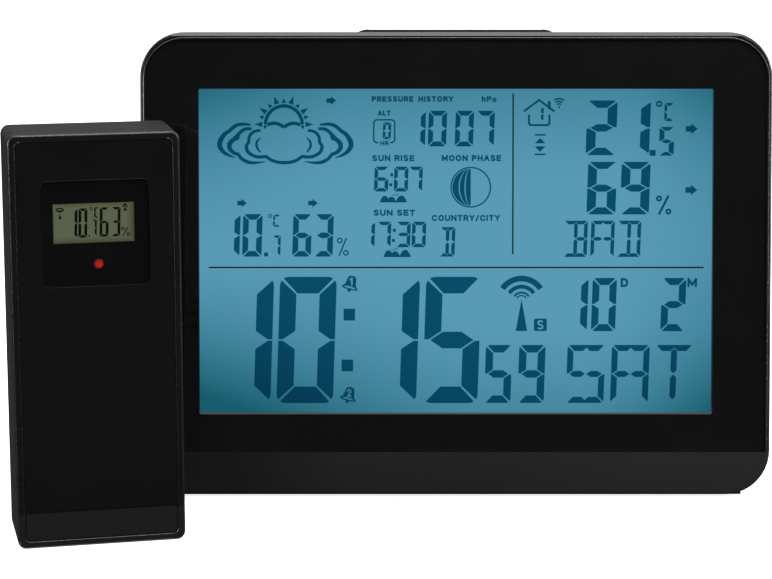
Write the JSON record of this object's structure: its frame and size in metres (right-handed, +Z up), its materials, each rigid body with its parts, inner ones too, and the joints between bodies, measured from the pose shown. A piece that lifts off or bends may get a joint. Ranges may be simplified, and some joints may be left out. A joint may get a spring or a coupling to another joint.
{
  "type": "home weather station",
  "caption": "Leaning tabletop weather console with a segment display behind a black-bordered lens and a fold-out foot, and an upright wireless sensor.",
  "frame": {"origin": "on the table, under the middle of the box round the console and the sensor as they stand", "axes": "+Z up, +X to the right as seen from the front, +Y from the front to the back"},
  "size_m": [0.2254, 0.1158, 0.1393],
  "materials": {
    "black_casing": "fine satin texture, moulded",
    "gloss_panel": "high gloss",
    "cover_lens": "clear window with a black printed border, polished",
    "clear_window": "smoked, polished",
    "display_glass": "clear, polished",
    "polarizer": "film",
    "clear_guide": "clear acrylic",
    "white_plastic": "matte white",
    "circuit_board": "green solder mask",
    "component_black": "moulded epoxy",
    "copper_wire": "enamelled copper",
    "ferrite": "sintered, dull",
    "steel": "zinc plated",
    "rubber": "matte",
    "conductive_rubber": "striped elastomer",
    "battery_jacket": "printed sleeve",
    "red_diffuser": "clear red epoxy"
  },
  "bodies": {
    "console": {"front_frame": "black_casing", "front_lens": "cover_lens", "lcd_polarizers": "polarizer", "lcd_glass": "display_glass", "light_guide": "clear_guide", "reflector_sheet": "white_plastic", "backlight_bar": "white_plastic", "lcd_carrier": "white_plastic", "contact_strip": "conductive_rubber", "main_board": "circuit_board", "board_screws": "steel", "board_components": "component_black", "switch_bodies": "component_black", "radio_module": "circuit_board", "radio_antenna": "copper_wire", "ferrite_rod": "ferrite", "ferrite_coil": "copper_wire", "buzzer": "component_black", "climate_probe": "circuit_board", "power_board": "circuit_board", "dc_jack": "component_black", "rear_housing": "black_casing", "housing_screws": "steel", "rubber_feet": "rubber", "battery_cells": "battery_jacket", "battery_plates": "steel", "battery_springs": "steel"},
    "foot": {"fold_out_foot": "black_casing", "foot_pad": "rubber"},
    "console_battery_door": {"console_battery_door": "black_casing"},
    "snooze_key": {"snooze_key": "black_casing", "snooze_plunger": "component_black"},
    "reset_button": {"reset_button": "component_black"},
    "sensor": {"sensor_front": "black_casing", "sensor_face": "gloss_panel", "sensor_window": "clear_window", "sensor_lcd": "display_glass", "sensor_contact_strip": "conductive_rubber", "sensor_lcd_frame": "white_plastic", "sensor_led": "red_diffuser", "sensor_board": "circuit_board", "sensor_components": "component_black", "sensor_switches": "component_black", "sensor_probe": "circuit_board", "sensor_back": "black_casing", "sensor_seal": "rubber", "sensor_screws": "steel", "sensor_cells": "battery_jacket", "sensor_contact_plates": "steel", "sensor_springs": "steel"},
    "sensor_battery_door": {"sensor_battery_door": "black_casing"},
    "sensor_channel_knob": {"sensor_channel_knob": "black_casing"},
    "sensor_send_key": {"sensor_send_key": "black_casing", "sensor_send_plunger": "component_black"},
    "mode_key": {"mode_key": "black_casing"},
    "set_key": {"set_key": "black_casing"},
    "up_key": {"up_key": "black_casing"},
    "down_key": {"down_key": "black_casing"},
    "alarm_key": {"alarm_key": "black_casing"},
    "channel_key": {"channel_key": "black_casing"}
  },
  "joints": [
    {"name": "foot_fold", "type": "hinge", "parent": "console", "child": "foot", "pos_m": [0.01752, 0.02009, 0.00779], "axis": [1, 0, 0], "range_deg": [0, 90]},
    {"name": "console_door_hinge", "type": "hinge", "parent": "console", "child": "console_battery_door", "pos_m": [0.01752, 0.02843, 0.05347], "axis": [-1, 0, 0], "range_deg": [0, 80]},
    {"name": "snooze_key_press", "type": "slide", "parent": "console", "child": "snooze_key", "axis": [0, -0.1392, -0.9903], "range_m": [0, 0.0006], "stiffness_N_per_m": 200, "springref_m": -0.002},
    {"name": "channel_key_press", "type": "slide", "parent": "console", "child": "channel_key", "axis": [0, -0.9903, 0.1392], "range_m": [0, 0.0006], "stiffness_N_per_m": 150, "springref_m": -0.002},
    {"name": "alarm_key_press", "type": "slide", "parent": "console", "child": "alarm_key", "axis": [0, -0.9903, 0.1392], "range_m": [0, 0.0006], "stiffness_N_per_m": 150, "springref_m": -0.002},
    {"name": "down_key_press", "type": "slide", "parent": "console", "child": "down_key", "axis": [0, -0.9903, 0.1392], "range_m": [0, 0.0006], "stiffness_N_per_m": 150, "springref_m": -0.002},
    {"name": "up_key_press", "type": "slide", "parent": "console", "child": "up_key", "axis": [0, -0.9903, 0.1392], "range_m": [0, 0.0006], "stiffness_N_per_m": 150, "springref_m": -0.002},
    {"name": "set_key_press", "type": "slide", "parent": "console", "child": "set_key", "axis": [0, -0.9903, 0.1392], "range_m": [0, 0.0006], "stiffness_N_per_m": 150, "springref_m": -0.002},
    {"name": "mode_key_press", "type": "slide", "parent": "console", "child": "mode_key", "axis": [0, -0.9903, 0.1392], "range_m": [0, 0.0006], "stiffness_N_per_m": 150, "springref_m": -0.002},
    {"name": "reset_button_press", "type": "slide", "parent": "console", "child": "reset_button", "axis": [0, -0.9903, 0.1392], "range_m": [0, 0.0004], "stiffness_N_per_m": 150, "springref_m": -0.002},
    {"name": "sensor_lift", "type": "slide", "parent": "console", "child": "sensor", "axis": [0, 0, 1], "range_m": [0, 0.12]},
    {"name": "sensor_door_hinge", "type": "hinge", "parent": "sensor", "child": "sensor_battery_door", "pos_m": [-0.08966, -0.02842, 0.0039], "axis": [-0.9751, -0.2215, 0], "range_deg": [0, 80]},
    {"name": "sensor_channel_slide", "type": "slide", "parent": "sensor", "child": "sensor_channel_knob", "axis": [0.9751, 0.2215, 0], "range_m": [-0.002, 0.002]},
    {"name": "sensor_send_press", "type": "slide", "parent": "sensor", "child": "sensor_send_key", "axis": [0.2215, -0.9751, 0], "range_m": [0, 0.0005], "stiffness_N_per_m": 150, "springref_m": -0.002}
  ]
}
